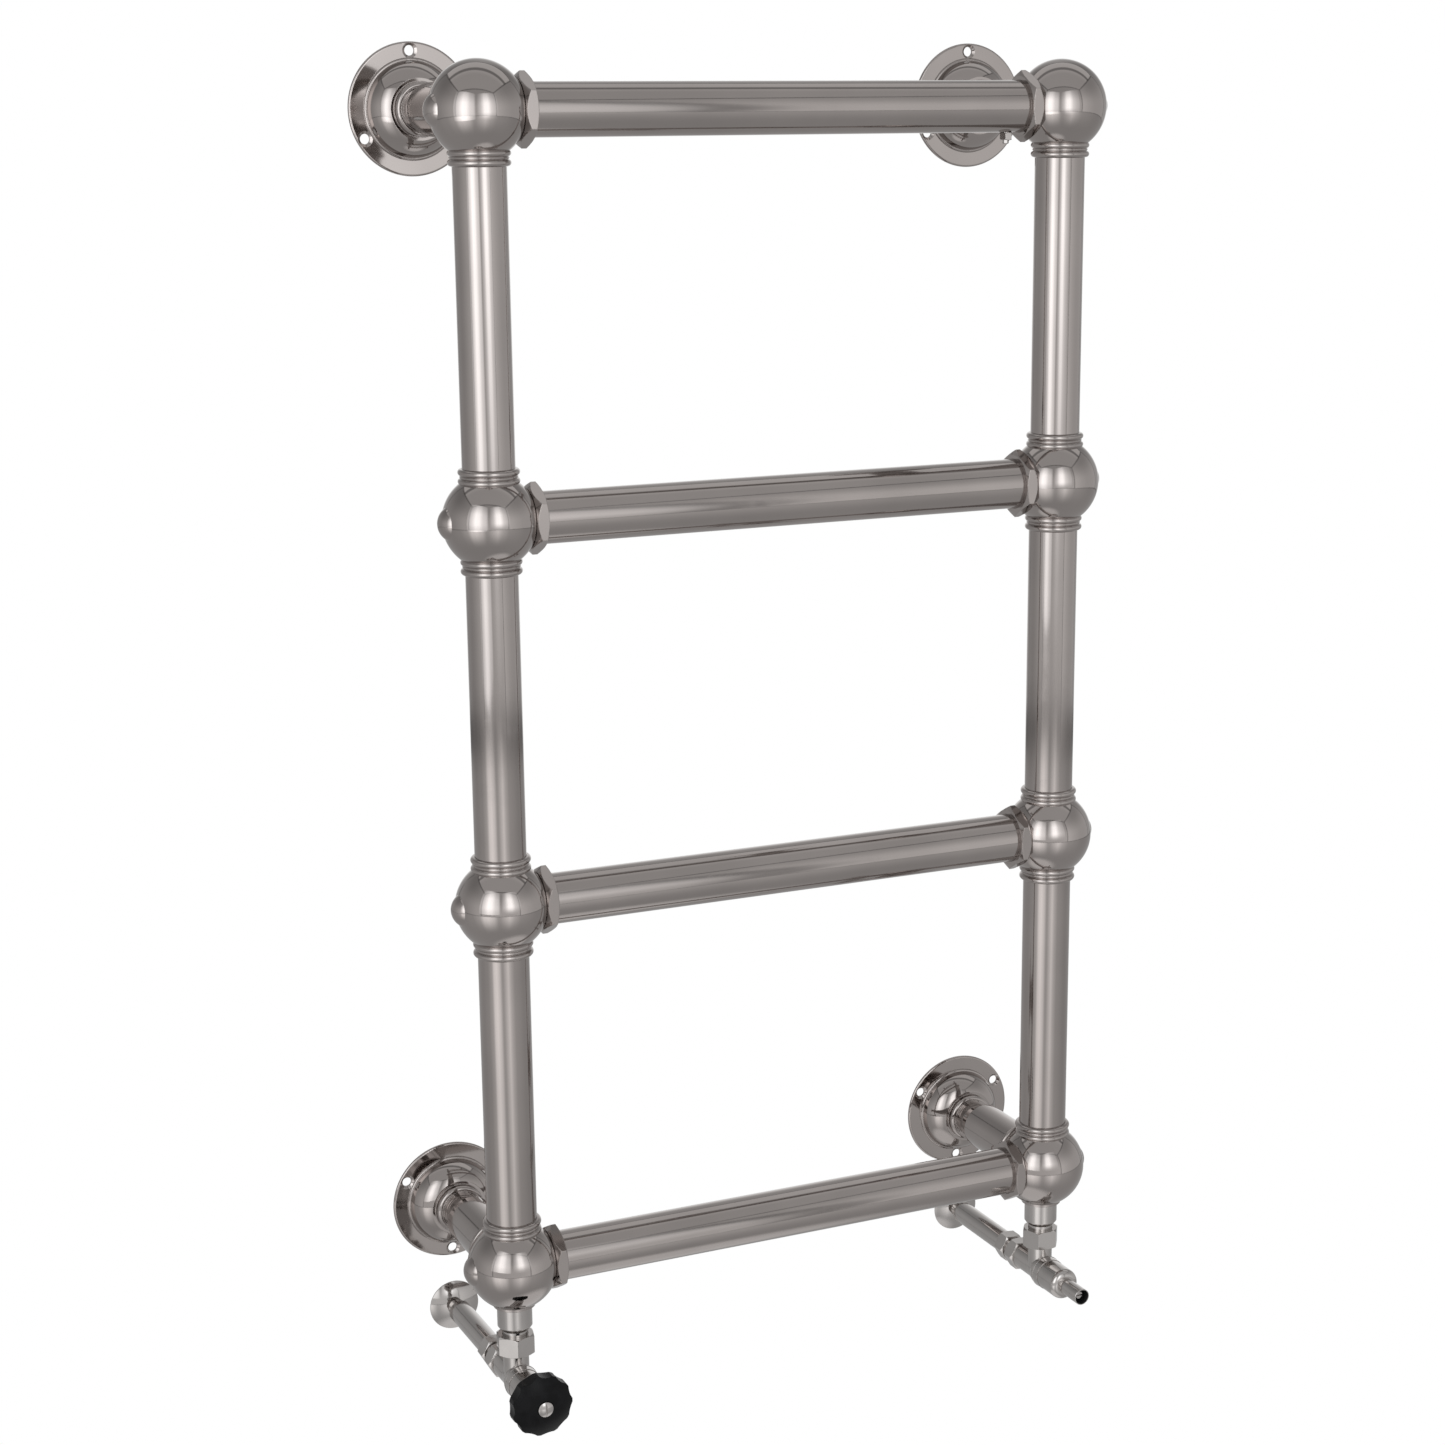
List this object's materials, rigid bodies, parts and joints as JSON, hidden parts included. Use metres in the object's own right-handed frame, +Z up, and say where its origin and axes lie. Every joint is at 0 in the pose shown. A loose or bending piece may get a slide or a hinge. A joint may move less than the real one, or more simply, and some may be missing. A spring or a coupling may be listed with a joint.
{
  "type": "towel radiator with valves",
  "caption": "Wall-hung ball-jointed towel radiator of round tubes on domed wall flanges, with a black wheelhead valve, a lockshield valve, covered supply pipes and a bleed valve.",
  "frame": {"origin": "on the wall plane, midway between the two posts and midway between the upper and lower wall flanges", "axes": "+Z up, +Y into the wall, so the front faces -Y; +X to the right as seen from the front"},
  "size_m": [0.6188, 0.2616, 1.1216],
  "materials": {
    "frame_nickel": "polished nickel plate",
    "valve_plate": "polished nickel plate",
    "handwheel_black": "black moulded plastic, satin",
    "black_plastic": "black liner",
    "seal_rubber": "black rubber",
    "fibre": "fibre washer",
    "brass": "machined",
    "copper": "drawn copper tube"
  },
  "bodies": {
    "radiator": {"ball_left_1": "frame_nickel", "ball_left_2": "frame_nickel", "ball_left_3": "frame_nickel", "ball_left_4": "frame_nickel", "ball_right_1": "frame_nickel", "ball_right_2": "frame_nickel", "ball_right_3": "frame_nickel", "ball_right_4": "frame_nickel", "post_left_1": "frame_nickel", "post_left_2": "frame_nickel", "post_left_3": "frame_nickel", "post_right_1": "frame_nickel", "post_right_2": "frame_nickel", "post_right_3": "frame_nickel", "rail_1": "frame_nickel", "rail_2": "frame_nickel", "rail_3": "frame_nickel", "rail_4": "frame_nickel", "rail_nuts_1": "frame_nickel", "rail_nuts_2": "frame_nickel", "rail_nuts_3": "frame_nickel", "rail_nuts_4": "frame_nickel", "seal_rings": "seal_rubber", "wall_sleeve_top_left": "frame_nickel", "wall_sleeve_top_right": "frame_nickel", "wall_sleeve_bottom_left": "frame_nickel", "wall_sleeve_bottom_right": "frame_nickel", "wall_flange_top_left": "frame_nickel", "wall_flange_top_right": "frame_nickel", "wall_flange_bottom_left": "frame_nickel", "wall_flange_bottom_right": "frame_nickel", "bleed_plug": "valve_plate", "connector_left": "valve_plate", "connector_right": "valve_plate", "union_nut_left": "valve_plate", "union_nut_right": "valve_plate", "union_washers": "fibre", "valve_body_left": "valve_plate", "valve_body_right": "valve_plate", "bonnet_left": "valve_plate", "bonnet_right": "valve_plate", "lockshield_liner": "black_plastic", "comp_nut_left": "valve_plate", "comp_nut_right": "valve_plate", "olives": "brass", "supply_pipe_left": "copper", "supply_pipe_right": "copper", "pipe_sleeve_left": "valve_plate", "pipe_sleeve_right": "valve_plate", "wall_rose_left": "valve_plate", "wall_rose_right": "valve_plate"},
    "handwheel_head": {"spindle_left": "valve_plate", "handwheel": "handwheel_black", "handwheel_screw": "valve_plate"},
    "valve_jumper_left": {"jumper_left": "brass", "jumper_washer_left": "seal_rubber"},
    "lockshield_spindle": {"spindle_right": "valve_plate"},
    "valve_jumper_right": {"jumper_right": "brass", "jumper_washer_right": "seal_rubber"},
    "bleed_screw": {"bleed_screw": "valve_plate"}
  },
  "joints": [
    {"name": "handwheel_turn", "type": "hinge", "parent": "radiator", "child": "handwheel_head", "pos_m": [-0.2564, -0.1616, -0.5721], "axis": [0, -1, 0], "range_deg": [0, 900]},
    {"name": "valve_lift_left", "type": "slide", "parent": "radiator", "child": "valve_jumper_left", "axis": [0, -1, 0], "range_m": [0, 0.00377]},
    {"name": "lockshield_turn", "type": "hinge", "parent": "radiator", "child": "lockshield_spindle", "pos_m": [0.2564, -0.1616, -0.5721], "axis": [0, -1, 0], "range_deg": [0, 900]},
    {"name": "valve_lift_right", "type": "slide", "parent": "radiator", "child": "valve_jumper_right", "axis": [0, -1, 0], "range_m": [0, 0.00377]},
    {"name": "bleed_screw_turn", "type": "hinge", "parent": "radiator", "child": "bleed_screw", "pos_m": [0.2039, -0.1616, 0.4451], "axis": [0, 0, 1], "range_deg": [0, 360]}
  ],
  "couplings": [
    {"joint": "valve_lift_left", "follows": "handwheel_turn", "m_per_rad": 0.00023873},
    {"joint": "valve_lift_right", "follows": "lockshield_turn", "m_per_rad": 0.00023873}
  ]
}
